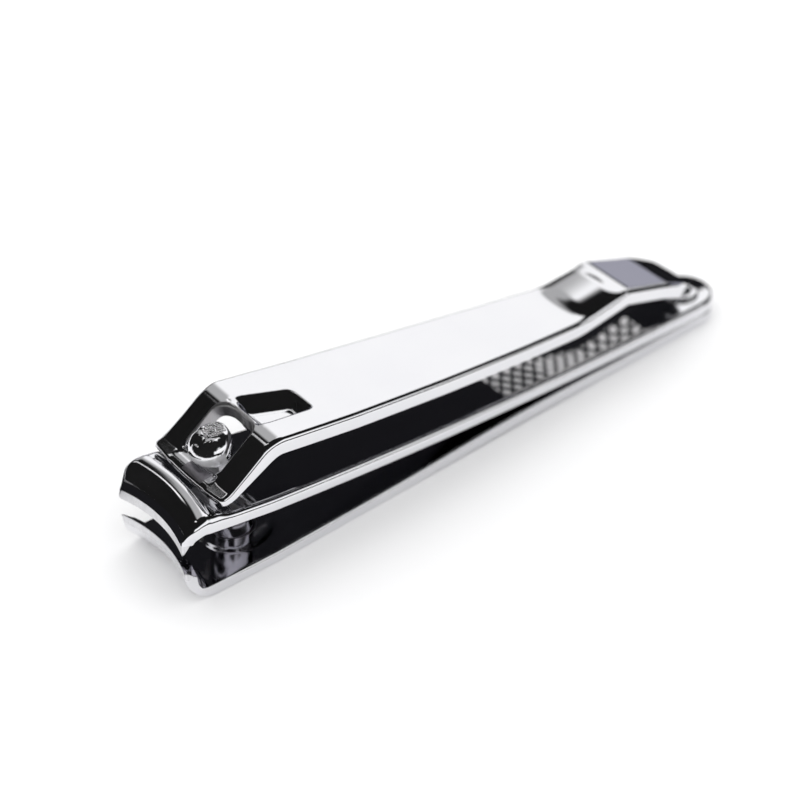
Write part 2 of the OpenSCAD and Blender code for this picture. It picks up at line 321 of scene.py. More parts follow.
class Plate:
    """Sheet laid on a profile, which is its outer face, with relief on both faces.

    Reliefs are heights along the outward normal. material_at(along, y, part) gives the slot;
    part is "outer", "inner", "rim" or "hole".
    """

    def __init__(self, profile, thickness, material_at, outer_relief,
                 inner_relief=flat, warp=unwarped):
        self.profile, self.thickness, self.material_at = profile, thickness, material_at
        self.outer_relief, self.inner_relief, self.warp = outer_relief, inner_relief, warp
        self.vertices, self.normals, self.faces, self.material_ids = [], [], [], []
        self.count = 0

    def point(self, along, y, depth):
        along, y, depth = np.broadcast_arrays(*(np.asarray(v, float) for v in (along, y, depth)))
        (x, z), _, (normal_x, normal_z) = self.profile.at(along)
        share = np.clip(depth / np.maximum(self.thickness(along), 1e-6), 0, 1)
        offset = (-depth + (1 - share) * self.outer_relief(along, y)
                  + share * self.inner_relief(along, y))
        points = np.stack([x + normal_x * offset, y, z + normal_z * offset], -1)
        return self.warp(along, y, points)

    def face_point(self, along, y, part):
        return self.point(along, y, self.thickness(along) if part == "inner" else 0)

    def face_normal(self, along, y, part):
        reach = 0.02
        across_along = (self.face_point(along + reach, y, part)
                        - self.face_point(along - reach, y, part))
        across_y = (self.face_point(along, y + reach, part)
                    - self.face_point(along, y - reach, part))
        normal = np.cross(across_along, across_y) * self.profile.side
        normal /= np.linalg.norm(normal, axis=1)[:, None]
        return -normal if part == "inner" else normal

    def add(self, points, normals):
        self.vertices.append(points)
        self.normals.append(normals)
        self.count += len(points)
        return np.arange(self.count - len(points), self.count)

    def add_rim(self, loop, outer_radius, inner_radius, part):
        """Wall along a loop; returns (flat loop, vertex ids) for its outer and inner border."""
        inward, stretch = loop_normals(loop)
        along, y = loop[:, 0], loop[:, 1]
        thickness = self.thickness(along)
        outer_radius, inner_radius = (
            np.minimum(radius(along, y) if callable(radius) else radius, limit * thickness)
            for radius, limit in ((outer_radius, 0.46), (inner_radius, 0.36)))
        _, (tangent_x, tangent_z), _ = self.profile.at(along)
        wall = np.stack([-inward[:, 0] * tangent_x, -inward[:, 1], -inward[:, 0] * tangent_z], 1)
        wall /= np.linalg.norm(wall, axis=1)[:, None]
        insets, rings = [], []
        for face, radius in (("outer", outer_radius), ("inner", inner_radius)):
            for k in range(RIM_STEPS + 1):
                if face == "outer":
                    tilt = math.pi / 2 * (1 - k / RIM_STEPS)
                    depth = radius * (1 - math.sin(tilt))
                else:
                    tilt = math.pi / 2 * k / RIM_STEPS
                    depth = thickness - radius * (1 - math.sin(tilt))
                inset = loop + inward * (radius * (1 - math.cos(tilt)) * stretch)[:, None]
                normal = self.face_normal(inset[:, 0], inset[:, 1], face)
                rings.append(self.add(self.point(inset[:, 0], inset[:, 1], depth),
                                      normal * math.sin(tilt) + wall * math.cos(tilt)))
                insets.append(inset)
            if face == "outer":
                middle = (outer_radius + thickness - inner_radius) / 2
                rings.append(self.add(self.point(along, y, middle), wall))
        for ring, following in zip(rings[:-1], rings[1:]):
            for i in range(len(ring)):
                j = (i + 1) % len(ring)
                quad = (ring[i], following[i], following[j], ring[j])
                self.faces.append(quad if self.profile.side > 0 else quad[::-1])
                self.material_ids.append(self.material_at(along[i], y[i], part))
        return (insets[0], rings[0]), (insets[-1], rings[-1])

    def add_face(self, part, borders, grid, patches, crease):
        """Fill a face with a grid, finer in patches, and a double row of points at a crease."""
        loops = [loop for loop, _ in borders]
        start = loops[0].min(0)[0]
        end, side_y = loops[0].max(0)
        grid_y = np.arange(-math.floor(side_y / grid) * grid, side_y, grid)
        grid_along = np.arange(start + grid / 2, end, grid)
        points = np.array([(a, b) for a in grid_along for b in grid_y])
        for a0, a1, y0, y1, _ in patches:
            points = points[~((points[:, 0] > a0) & (points[:, 0] < a1)
                              & (points[:, 1] > y0) & (points[:, 1] < y1))]
        for a0, a1, y0, y1, step in patches:
            fine = [(a + 1e-4 * (j % 2), b) for a in np.arange(a0, a1, step)
                    for j, b in enumerate(np.arange(y0, y1, step))]
            points = np.concatenate([points, np.array(fine)])
        if crease is not None:
            points = points[np.abs(points[:, 0] - crease) > 0.2]
            rows = [(crease + shift, b + shift * 0.1) for shift in (-0.035, 0.035)
                    for b in np.arange(grid_y[0], side_y, 0.3)]
            points = np.concatenate([points, np.array(rows)])
        points = points[on_material(loops, points)]
        points = points[~near(points, loops, 0.13 if patches else grid * 0.36)]

        triangles = triangulate(loops, points)
        along, y = points[:, 0], points[:, 1]
        added = self.add(self.face_point(along, y, part), self.face_normal(along, y, part))
        centres = np.concatenate(loops + [points])[triangles].mean(1)
        triangles = np.concatenate([ring for _, ring in borders] + [added])[triangles]
        if (self.profile.side > 0) == (part == "inner"):
            triangles = triangles[:, ::-1]
        for triangle, centre in zip(triangles, centres):
            self.faces.append(tuple(triangle))
            self.material_ids.append(self.material_at(centre[0], centre[1], part))

    def build(self, name, outline, holes, materials, outer_radius, inner_radius, rim_step, grid,
              outer_patches, inner_patches=(), hole_radius=0.25, crease=None):
        """Patches are rows of (along from, along to, y from, y to, point spacing)."""
        rims = [self.add_rim(oriented(resample(outline, rim_step), 1),
                             outer_radius, inner_radius, "rim")]
        for hole in holes:
            loop = oriented(resample(hole, rim_step * 0.6), -1)
            rims.append(self.add_rim(loop, hole_radius, HOLE_INNER_R, "hole"))
        outer_borders, inner_borders = zip(*rims)
        self.add_face("outer", outer_borders, grid, outer_patches, crease)
        self.add_face("inner", inner_borders, grid, inner_patches, None)
        return make_object(name, np.concatenate(self.vertices), self.faces, materials,
                           self.material_ids, np.concatenate(self.normals))


# ---------------------------------------------------------------- shader nodes
class NodeGraph:
    """An emptied node tree with short ways to add nodes."""

    def __init__(self, owner):
        owner.use_nodes = True
        self.tree = owner.node_tree
        self.tree.nodes.clear()

    def add(self, kind, sockets=None, **settings):
        """Add a node; each socket gets a link if given an output, else a value."""
        node = self.tree.nodes.new("ShaderNode" + kind)
        for key, value in settings.items():
            setattr(node, key, value)
        for key, value in (sockets or {}).items():
            if isinstance(value, bpy.types.NodeSocket):
                self.tree.links.new(value, node.inputs[key])
            else:
                node.inputs[key].default_value = value
        return node

    def coordinates(self, kind="Object"):
        return self.add("TexCoord").outputs[kind]

    def math(self, operation, *values):
        return self.add("Math", dict(enumerate(values)), operation=operation).outputs[0]

    def noise(self, coordinates, scale, detail):
        sockets = {"Vector": coordinates, "Scale": scale, "Detail": detail}
        return self.add("TexNoise", sockets).outputs[0]

    def stretched(self, coordinates, scale):
        return self.add("Mapping", {"Vector": coordinates, "Scale": scale}).outputs[0]

    def map_range(self, value, source=(0, 1), target=(0, 1), **settings):
        sockets = dict(enumerate((value, *source, *target)))
        return self.add("MapRange", sockets, **settings).outputs[0]

    def mix_colours(self, factor, first, second):
        # sockets 6, 7 and output 2 are the colour ones
        return self.add("Mix", {0: factor, 6: first, 7: second}, data_type="RGBA").outputs[2]

    def bump(self, height, strength, distance):
        sockets = {"Height": height, "Strength": strength, "Distance": distance}
        return self.add("Bump", sockets).outputs[0]


def new_material(name):
    material = bpy.data.materials.new(name)
    return material, NodeGraph(material)


def principled(graph, **sockets):
    """Principled surface; underscores in the argument names stand for spaces."""
    shader = graph.add("BsdfPrincipled", {k.replace("_", " "): v for k, v in sockets.items()})
    graph.add("OutputMaterial", {"Surface": shader.outputs[0]})


def chrome(name, colour=(0.80, 0.80, 0.815), smudge_colour=(0.74, 0.74, 0.77), rough=0.03,
           smudge_rough=0.04, bump=0.012, metallic=1.0):
    """Polished plating: smudges, long fine polishing lines along X and soft ripples."""
    material, graph = new_material(name)
    coordinates = graph.coordinates()
    lines = graph.noise(graph.stretched(coordinates, (120, 9000, 9000)), scale=1.0, detail=3)
    ripples = graph.noise(coordinates, scale=260, detail=2)
    smudges = graph.noise(coordinates, scale=95, detail=5)
    haze = graph.map_range(smudges, (0.45, 0.8), (rough, rough + smudge_rough))
    line_roughness, line_height = 0.015, 0.25
    height = graph.math("MULTIPLY_ADD", lines, line_height, ripples)
    principled(
        graph,
        Metallic=metallic,
        Roughness=graph.math("MULTIPLY_ADD", lines, line_roughness, haze),
        Base_Color=graph.mix_colours(smudges, (*colour, 1), (*smudge_colour, 1)),
        Normal=graph.bump(height, strength=bump, distance=0.0004))
    return material


def ground_steel(name, colour=(0.82, 0.82, 0.84), rough=0.28, axis=2, scale=1600):
    """Ground or sheared steel with lines along one axis (0, 1, 2 for X, Y, Z)."""
    material, graph = new_material(name)
    stretch = [scale * 3] * 3
    stretch[axis] = scale * 0.12
    lines = graph.noise(graph.stretched(graph.coordinates(), stretch), scale=1.0, detail=4)
    dark = tuple(channel * 0.7 for channel in colour)
    principled(
        graph,
        Metallic=1.0,
        Roughness=graph.map_range(lines, target=(rough - 0.1, rough + 0.15)),
        Base_Color=graph.mix_colours(lines, (*colour, 1), (*dark, 1)),
        Normal=graph.bump(lines, strength=0.25, distance=0.0001))
    return material


def file_steel_painted_light(name, pitch, angle, shift):
    """Cross-cut file: painted shade in the cuts (near black) and painted light on the tooth tops
    (near white, with a glow), on the same lines as the modelled teeth.

    shift is the difference between arc length and object X, both in mm.
    """
    material, graph = new_material(name)
    coordinates = graph.coordinates()
    offset = shift * math.cos(angle) / pitch + 40      # 40 whole pitches keep it positive
    distances = []                                     # from the middle of the nearest cut
    for sign in (1, -1):
        across = (1000 * math.cos(angle) / pitch, sign * 1000 * math.sin(angle) / pitch, 0)
        dot = graph.add("VectorMath", {0: coordinates, 1: across}, operation="DOT_PRODUCT")
        phase = graph.math("FRACT", graph.math("ADD", dot.outputs["Value"], offset))
        distances.append(graph.math("ABSOLUTE", graph.math("SUBTRACT", phase, 0.5)))
    # mask from the cuts, painted near black as shade, to the tooth tops, painted near white as
    # light
    shade_to_lit_tops = graph.map_range(graph.math("MINIMUM", *distances), source=(0.10, 0.22))
    grain = graph.noise(coordinates, scale=900, detail=3)
    painted_lit_tops = graph.mix_colours(grain, (1.0, 0.99, 0.97, 1), (0.9, 0.89, 0.88, 1))
    colour = graph.mix_colours(shade_to_lit_tops, (0.02, 0.02, 0.025, 1), painted_lit_tops)
    # the emission is painted light: a glow on the file standing in for bounce light, not a lamp
    principled(graph, Metallic=0.1, Roughness=0.38, Base_Color=colour,
               Emission_Color=colour, Emission_Strength=0.25)
    return material


def emission(name, colour, strength):
    material, graph = new_material(name)
    shader = graph.add("Emission", {"Color": (*colour, 1), "Strength": strength})
    graph.add("OutputMaterial", {"Surface": shader.outputs[0]})
    return material


JAW_CHROME = chrome("jaw_chrome")
LEVER_CHROME = chrome("lever_chrome")
PIN_CHROME = chrome("pin_chrome", colour=(0.86, 0.86, 0.88), rough=0.06, bump=0.05)
GROUND_EDGE = ground_steel("ground_edge")
SHEARED_WALL = ground_steel("sheared_wall", colour=(0.62, 0.61, 0.62), rough=0.3, scale=900)
WORN_BAR = ground_steel("worn_bar", colour=(0.50, 0.48, 0.52), rough=0.34, axis=1, scale=2600)
PIN_NECK = chrome("pin_neck_satin", colour=(0.86, 0.86, 0.88), rough=0.2, bump=0.05,
                  smudge_rough=0.1, metallic=0.55)
# Darker chrome for the shank low between the jaws: painted shade from the jaws over it, not a
# different plating.
PIN_SHANK_PAINTED_SHADE = chrome("pin_shank_painted_shade", colour=(0.42, 0.41, 0.45), smudge_colour=(0.34, 0.33, 0.37),
                   rough=0.08, bump=0.03)
PIN_TOP = chrome("pin_crumpled_top", colour=(0.80, 0.79, 0.80), rough=0.12, bump=0.35,
                 smudge_rough=0.2)


# ---------------------------------------------------------------- jaws
def strip_outline(profile):
    """Outline of a jaw: cutting edge with small corners, tapering sides, half-round tail."""
    tail_radius = TAIL_W / 2
    tail = profile.along_at(LENGTH - tail_radius)
    stations = np.arange(0, tail, 0.4)
    widths = strip_half_width(profile.x_at(stations))
    right = [(along, -width) for along, width in zip(stations, widths)]
    cap = [(tail + tail_radius * math.cos(a), tail_radius * math.sin(a))
           for a in np.linspace(-math.pi / 2, math.pi / 2, 40)]
    left = [(along, width) for along, width in zip(stations[::-1], widths[::-1])]
    half_edge = EDGE_CHORD / 2
    return np.concatenate([
        [[0.0, -half_edge + 0.25], [0.07, -half_edge + 0.07]],
        np.array(right + cap + left)[1:-1],
        [[0.07, half_edge - 0.07], [0.0, half_edge - 0.25]]])


def make_upper_jaw():
    lip_top = float(upper_underside(2.9)) + STRIP_T
    # the lip is one arc that rises lip_rise over lip_run
    lip_rise, lip_run = lip_top - FACET_Z, 3.0
    lip_radius = (lip_rise + lip_run ** 2 / lip_rise) / 2
    lip_angle = math.asin((lip_run ** 2 / lip_rise - lip_rise) / 2 / lip_radius)
    line = [(0.0, EDGE_HIGH), (0.0, FACET_Z)]
    line += [(lip_run - lip_radius * math.cos(a), lip_top - lip_radius + lip_radius * math.sin(a))
             for a in np.linspace(lip_angle, math.pi / 2 + 0.16, 34)]
    line += [(x, float(upper_underside(x)) + STRIP_T)
             for x in np.arange(line[-1][0] + 0.5, RIVET_X, 0.5)]
    tail_z = float(upper_underside(RIVET_X)) + STRIP_T
    profile = Profile(line + [(RIVET_X, tail_z), (LENGTH, tail_z)], +1)

    facet = FACET_Z - EDGE_HIGH
    apex = profile.along_at(2.9)
    crown_back = profile.along_at(4.6)
    crown_end = profile.along_at(7.4)
    lift_end = profile.along_at(10.0)

    def crown(along, y):
        """Swelling of the lip up to HEAD_TOP, lower towards the sides."""
        t = np.clip((np.asarray(along, float) - facet) / (apex + 0.9 - facet), 0, 1)
        lengthwise = t * t * (3 - 2 * t) * (1 - ease(along, crown_back, crown_end))
        across = 1 - 0.6 * ease(np.abs(y), 5.9, 7.1)
        return (HEAD_TOP - lip_top) * lengthwise * across

    def warp(along, y, points):
        """Curve the cutting edge and raise the lip towards +Y."""
        points[..., 0] += edge_sag(y) * (1 - ease(along, apex - 1.0, apex + 5.5))
        lift = ease(along, facet, facet + 2.7) * (1 - ease(along, crown_back, lift_end))
        points[..., 2] += 0.75 * side_rise(y) * lift
        return points

    def material_at(along, y, part):
        if along < facet - 0.03 and part != "inner":
            return 1
        return 2 if part == "hole" else 0

    jaw = Plate(profile, strip_thickness, material_at, crown, warp=warp).build(
        "upper_jaw_visual",
        outline=strip_outline(profile),
        holes=[circle(profile.along_at(9.92), 3.15),
               circle(profile.along_at(RIVET_X), RIVET_D / 2 + 0.1)],
        materials=[JAW_CHROME, GROUND_EDGE, SHEARED_WALL],
        outer_radius=0.72, inner_radius=0.14, rim_step=0.25, grid=0.4, crease=facet,
        outer_patches=[(facet + 0.15, profile.along_at(9.0), -7.0, 7.0, 0.22)])
    register(jaw, "upper_jaw", "jaw")


def make_lower_jaw():
    line = [(0.0, EDGE_LOW), (0.0, LIP_R)]
    line += [(LIP_R - LIP_R * math.cos(a), LIP_R - LIP_R * math.sin(a))
             for a in np.linspace(0, math.pi / 2, 30)]
    line += [(x, float(arch(x))) for x in np.arange(LIP_R + 0.5, LENGTH, 0.5)]
    profile = Profile(line + [(LENGTH, 0.0)], -1)
    bend_end = profile.along_at(LIP_R)
    pin = profile.along_at(PIN_X)

    def foot_recess(along, y):
        """Round recess in the underside for the foot of the leaning pin."""
        depth = 1.08 + 0.122 * np.clip(along - pin, -3.6, 3.6)
        return -depth * (1 - ease(np.hypot(along - pin, y), 3.46, 3.62))

    def inner_relief(along, y):
        """Raised boss round the pin and a tighter inner corner in the bend of the lip."""
        angle = (np.asarray(along, float) - (EDGE_LOW - LIP_R)) / LIP_R
        angle = np.clip(angle, 0.001, math.pi / 2 - 0.001)
        corner = (LIP_R - STRIP_T) * (np.minimum(1 / np.cos(angle), 1 / np.sin(angle)) - 1)
        limit = 0.62
        boss = -0.22 * (1 - ease(np.hypot(along - pin, y), 3.9, 5.1))
        return boss + corner * limit / (corner ** 4 + limit ** 4) ** 0.25

    def warp(along, y, points):
        points[..., 0] += edge_sag(y) * (1 - ease(along, bend_end - 1.5, bend_end + 4.0))
        return points

    def inner_radius(along, y):
        return 0.12 + 0.38 * ease(along, bend_end + 0.5, bend_end + 4.0)

    def material_at(along, y, part):
        if along < 1.1 and part != "inner":
            return 1
        return 2 if part == "hole" else 0

    jaw = Plate(profile, strip_thickness, material_at, foot_recess, inner_relief, warp).build(
        "lower_jaw_visual",
        outline=strip_outline(profile),
        holes=[circle(pin, PIN_D / 2 + 0.06),
               circle(profile.along_at(RIVET_X), RIVET_D / 2 + 0.01)],
        materials=[JAW_CHROME, GROUND_EDGE, SHEARED_WALL],
        outer_radius=0.35, inner_radius=inner_radius, hole_radius=0.1, rim_step=0.28, grid=0.45,
        outer_patches=[(pin - 4.2, pin + 4.2, -4.2, 4.2, 0.16)],
        inner_patches=[(0.3, pin + 5.2, -6.9, 6.9, 0.22)])
    register(jaw, "lower_jaw", "base")


# ---------------------------------------------------------------- lever
SHOULDER_X = 12.6                        # highest corner of the lever line
SIDE_BOW, SIDE_BOW_LEN = 0.37, 46.2      # outward bow of the lever's sides


def lever_half_width(x):
    x = np.asarray(x, float)
    bow_share = np.clip((x - SHOULDER_X) / SIDE_BOW_LEN, 0, 1)
    bow = SIDE_BOW * np.sin(np.pi * bow_share) ** 0.7
    return np.where(x < SHOULDER_X,
                    LEVER_W / 2 + 0.04 * (SHOULDER_X - x) / 7.6,
                    LEVER_W / 2 - 0.047 * (x - SHOULDER_X) + bow)


def signed_power(value, exponent):
    return math.copysign(abs(value) ** exponent, value)


def lever_outline(profile):
    """Slightly bowed front edge with rounded corners, long sides and a blunt rounded tip."""
    cap_start_x, cap_power = 73.2, 0.8
    cap_start = profile.along_at(cap_start_x)
    cap_width = float(lever_half_width(cap_start_x))
    stations = np.arange(0, cap_start, 0.4)
    widths = lever_half_width(profile.x_at(stations))
    right = [(along, -width) for along, width in zip(stations, widths)]
    cap = [(cap_start + (profile.length - cap_start) * signed_power(math.cos(a), cap_power),
            cap_width * signed_power(math.sin(a), cap_power))
           for a in np.linspace(-math.pi / 2, math.pi / 2, 60)]
    left = [(along, width) for along, width in zip(stations[::-1], widths[::-1])]
    sides = (right + cap + left)[4:-4]   # the corners below take the place of the ends
    front = [(0.45 * (y / 6.9) ** 2, y) for y in np.linspace(6.1, -6.1, 40)]
    radius = 0.75
    corner = [(0.34 + radius - radius * math.cos(a),
               -float(widths[0]) + radius - radius * math.sin(a))
              for a in np.linspace(0.15, math.pi / 2, 7)]
    return front + corner + sides + [(along, -y) for along, y in corner[::-1]]


def soft_slope(value, width, softness):
    """0 to 1 over the width in a straight slope with small rounded ends."""
    def bend(v):
        return softness * np.logaddexp(0, v / softness)
    return (bend(value) - bend(value - width)) / width


def tooth_wave(phase):
    return np.clip(1 - np.abs((phase % 1.0) - 0.5) / 0.42, 0, 1)


def make_lever():
    profile = Profile(rounded_line(LEVER_LINE), +1)
    window_front, window_rear = profile.along_at(6.9), profile.along_at(13.1)
    trough_start, trough_end = profile.along_at(13.6), profile.along_at(20.6)
    file_start, file_end = profile.along_at(52.0), profile.along_at(75.0)
    half_window = WINDOW_W / 2
    window = rounded_loop([
        (window_front + 0.25, -half_window, 1.1), (window_rear, -half_window, 2.3),
        (window_rear, half_window, 2.3), (window_front + 0.25, half_window, 1.1),
        (window_front - 0.15, 0, 6)], steps=12)

    def thickness(along):
        x = profile.x_at(along)
        return TIP_T + (LEVER_T - TIP_T) * np.clip((x - 5.6) / 6.0, 0, 1)

    def trough(along, y):
        """Pressed trough behind the window: steep -Y wall, broad +Y wall, closing rearwards."""
        along, y = np.asarray(along, float), np.asarray(y, float)
        t = (along - trough_start) / (trough_end - trough_start)
        steep = soft_slope(3.05 - 0.12 * t + y, 0.45, 0.09)
        broad = soft_slope(3.2 - 1.75 * t - y, 1.75, 0.1)
        rear = soft_slope(trough_end - along, 0.8, 0.08)
        front = 0.18 + 0.82 * ease(along, trough_start - 0.3, trough_start + 1.7)
        front = front * ease(along, trough_start - 0.55, trough_start - 0.2)
        return -1.6 * steep * broad * rear * front

    def outer_relief(along, y):
        # the neck in front of the raised end is crowned across its width
        x = profile.x_at(along)
        neck = ease(x, 58.2, 61.2) * (1 - ease(x, 64.6, 66.6))
        crown = 0.42 - 0.75 * (np.asarray(y, float) / 4.5) ** 2
        # the cross bar in front of the window is rounded over
        from_middle = np.clip(np.abs((np.asarray(along, float) - 0.95) / 1.05), 0, 1.2)
        bar = (-0.34 * from_middle ** 2 * (1 - ease(along, 2.0, 2.6))
               * (1 - ease(np.abs(y), 2.9, 3.9)))
        return trough(along, y) + bar + neck * crown

    def file_cuts(along, y):
        """Two crossing sets of grooves in the underside, fading out at the borders."""
        along, y = np.asarray(along, float), np.asarray(y, float)
        cosine, sine = math.cos(FILE_ANGLE), math.sin(FILE_ANGLE)
        first = tooth_wave((along * cosine + y * sine) / FILE_PITCH)
        second = tooth_wave((along * cosine - y * sine) / FILE_PITCH)
        border = (ease(lever_half_width(profile.x_at(along)) - np.abs(y), 0.35, 0.75)
                  * ease(along, file_start, file_start + 0.3)
                  * (1 - ease(along, file_end - 0.3, file_end)))
        return 0.40 * np.maximum(first, second) * border

    def inner_relief(along, y):
        front_rise = 0.5 * side_rise(y) * (1 - ease(along, 1.6, 3.4))
        return trough(along, y) + file_cuts(along, y) + front_rise

    def outer_radius(along, y):
        return 0.75 - 0.45 * ease(y, 1.0, 5.5) * ease(along, 8.0, 11.0)

    def window_radius(along, y):
        return 0.2 + 0.3 * ease(along, window_rear - 2.6, window_rear - 0.4)

    def material_at(along, y, part):
        if part == "hole" and along > window_front + 0.9:
            return 1
        if part == "outer" and along < window_front + 0.1 and -2.7 < y < 1.1:
            return 3
        # the file's underside takes the material with painted shade in its cuts and painted light
        # on its tooth tops
        if part == "inner" and file_start < along < file_end:
            return 2
        return 0

    file_shift = profile.along_at(60.0) - (60.0 - LENGTH / 2)
    file_painted_light_material = file_steel_painted_light("file_steel_painted_light", FILE_PITCH, FILE_ANGLE, file_shift)
    trough_patch = (trough_start - 1.2, trough_end + 0.8, -3.6, 3.6)
    lever = Plate(profile, thickness, material_at, outer_relief, inner_relief).build(
        "lever_visual",
        outline=lever_outline(profile),
        holes=[window],
        materials=[LEVER_CHROME, SHEARED_WALL, file_painted_light_material, WORN_BAR],
        outer_radius=outer_radius, inner_radius=0.14, hole_radius=window_radius,
        rim_step=0.35, grid=0.45,
        outer_patches=[(*trough_patch, 0.16),
                       (trough_start - 0.5, trough_end + 0.4, -3.45, -2.55, 0.085),
                       (0.1, 2.4, -4.2, 4.2, 0.22)],
        inner_patches=[(*trough_patch, 0.25),
                       (file_start - 0.4, file_end + 0.3, -5.6, 5.6, 0.12)])
    register(lever, "lever", "lever_arm")


# ---------------------------------------------------------------- pin
PIN_R, FOOT_R, WAIST_R = PIN_D / 2, FOOT_D / 2, 1.7
HEAD_R = HEAD_D / 2 + 0.06
PIN_TURN = 176                           # points round the pin
CAP_RINGS = 40
CAP_Z = PIN_LEN - 0.08
NOTCH_DEEP = 0.75                        # from the axis to the bottom of the notch, at -X
# The rough flat on top is off the axis, and a shoulder round it falls away to the rim.
FLAT_X, FLAT_Y, FLAT_R, SHOULDER_DROP = 1.0, 0.3, 1.25, 1.8

# Foot and start of the shank: height along the axis, radius.
FOOT_STATIONS = [
    (-0.55, FOOT_R - 0.12), (-0.52, FOOT_R - 0.03), (-0.43, FOOT_R), (-0.12, FOOT_R),
    (-0.03, FOOT_R - 0.03), (0.0, FOOT_R - 0.12), (0.0, PIN_R + 0.12), (0.02, PIN_R + 0.03),
    (0.12, PIN_R),
]
# Shank, waist and head: height along the axis, radius.
SHANK_PROFILE = [
    (-0.1, PIN_R), (9.3, PIN_R), (9.5, PIN_R - 0.07), (9.9, PIN_R - 0.55),
    (10.2, WAIST_R + 0.04), (10.6, WAIST_R), (11.0, WAIST_R + 0.08), (11.3, WAIST_R + 0.22),
    (11.7, WAIST_R + 0.48), (12.1, HEAD_R - 0.2), (12.5, HEAD_R - 0.08), (13.0, HEAD_R - 0.02),
    (13.8, HEAD_R), (16, HEAD_R),
]


def notch_distance(height):
    """Distance from the axis to the face of the notch cut into the -X side."""
    low = (PIN_R + 1.0 - NOTCH_DEEP) * (1 - float(ease(height, 8.3, 9.9)))
    high = (HEAD_R + 1.0 - NOTCH_DEEP) * float(ease(height, 11.6, 13.3))
    return max(NOTCH_DEEP + low, NOTCH_DEEP + high)


def noise_at(x, y, z):
    return noise.noise(Vector((x, y, z)))


def pin_top_height(x, y, share):
    """Height of the head's top: rough flat, then a dented shoulder; share is 1 at the rim."""
    distance = math.hypot(x - FLAT_X, y - FLAT_Y)
    angle = math.atan2(y - FLAT_Y, x - FLAT_X)
    # distance from the middle of the flat to the rim in this direction
    reach = FLAT_X * math.cos(angle) + FLAT_Y * math.sin(angle)
    to_rim = -reach + math.sqrt(
        max(reach * reach - FLAT_X ** 2 - FLAT_Y ** 2 + HEAD_R ** 2, 0.01))
    t = max(0.0, min(1.0, (distance - FLAT_R) / max(to_rim - FLAT_R, 0.05)))
    shoulder = SHOULDER_DROP * (1 - math.sqrt(max(0.0, 1 - t ** 2)))
    on_flat = 1 - float(ease(distance, FLAT_R - 0.1, FLAT_R + 0.15))
    grain = (0.055 * noise_at(x * 6.0, y * 6.0, 2.1)
             + 0.035 * noise_at(x * 12.0, y * 12.0, 7.7))
    dent = (0.3 * noise_at(x * 0.9 + 3.1, y * 0.9 - 1.7, 0.4)
            + 0.05 * noise_at(x * 2.2, y * 2.2, 5.2))
    return (CAP_Z - shoulder + on_flat * grain
            + (1 - on_flat) * dent * min(1.0, 4 * (1 - share)) * 0.8)


def pin_rings():
    """Rings of the side and of the top, in the pin's own upright frame."""
    angles = np.linspace(0, 2 * math.pi, PIN_TURN, endpoint=False)
    cosine, sine = np.cos(angles), np.sin(angles)

    def ring(radius, height):
        return np.stack([radius * cosine, radius * sine, height + np.zeros(PIN_TURN)], 1)

    end = PIN_LEN - 0.12 - SHOULDER_DROP
    heights, radii = zip(*SHANK_PROFILE)
    stations = [(-0.55, 1.6)] + FOOT_STATIONS
    stations += [(height, float(np.interp(height, heights, radii)))
                 for height in [*np.arange(0.5, 8.0, 0.5), *np.arange(8.0, end, 0.09)]]
    side = []
    for height, station_radius in stations:
        radius = np.full(PIN_TURN, station_radius)
        if 7.5 < height < 14.6:
            cut = notch_distance(height) / np.maximum(-cosine, 1e-6)
            radius = np.where(cosine < 0, np.minimum(radius, cut), radius)
        if height > 11:
            amount = 0.07 * float(ease(height, 11, 13))
            waves = np.array([noise_at(math.cos(a) * 1.1, math.sin(a) * 1.1, height * 0.5 + 4.0)
                              for a in angles])
            radius = radius + amount * waves - amount * 0.6
        side.append(ring(radius, height))

    rim_radius = np.hypot(side[-1][:, 0], side[-1][:, 1])
    top = []
    for k in range(1, CAP_RINGS + 1):
        share = math.cos(k / (CAP_RINGS + 1) * math.pi / 2)
        radius = rim_radius * share
        top.append(ring(radius, np.array([pin_top_height(a, b, share)
                                          for a, b in zip(radius * cosine, radius * sine)])))
    return side, top


def pin_material_at(middle, on_top):
    if on_top:
        return 1 if math.hypot(middle[0] - FLAT_X, middle[1] - FLAT_Y) < FLAT_R + 0.05 else 0
    # the shank below the waist takes the darker chrome, which is painted shade from the jaws
    if middle[2] < 9.4:
        return 3
    return 2 if middle[2] < 13.4 and middle[0] < 0.4 else 0


def make_pin():
    side, top = pin_rings()
    rings = side + top
    # vertex 0 is the middle of the foot, the last vertex the middle of the top
    last = 1 + len(rings) * PIN_TURN
    neighbours = [(j, (j + 1) % PIN_TURN) for j in range(PIN_TURN)]
    faces = [(0, 1 + k, 1 + j) for j, k in neighbours]
    material_ids = [0] * PIN_TURN
    for i in range(len(rings) - 1):
        low = 1 + i * PIN_TURN
        high = low + PIN_TURN
        for j, k in neighbours:
            faces.append((low + j, low + k, high + k, high + j))
            middle = (rings[i][j] + rings[i + 1][k]) / 2
            material_ids.append(pin_material_at(middle, on_top=i >= len(side)))
    faces += [(last - PIN_TURN + j, last - PIN_TURN + k, last) for j, k in neighbours]
    material_ids += [1] * PIN_TURN

    local = np.concatenate([[[0, 0, -0.55]], *rings, [[0, 0, pin_top_height(0, 0, 0)]]])
    local[:, 0] -= 0.25 * ease(local[:, 2], 10.4, 13.0)   # the head is shifted a little to -X
    lean = math.radians(PIN_LEAN)
    axis = np.array([-math.sin(lean), 0, math.cos(lean)])
    across = np.array([math.cos(lean), 0, math.sin(lean)])
    points = (np.array([PIN_X, 0, PIN_Z]) + local[:, :1] * across
              + local[:, 1:2] * np.array([0, 1, 0]) + local[:, 2:] * axis)
    pin = make_object("pin_visual", points, faces,
                      [PIN_CHROME, PIN_TOP, PIN_NECK, PIN_SHANK_PAINTED_SHADE], material_ids)
    pin.data.set_sharp_from_angle(angle=math.radians(38))
    register(pin, "pivot_pin", "pin")


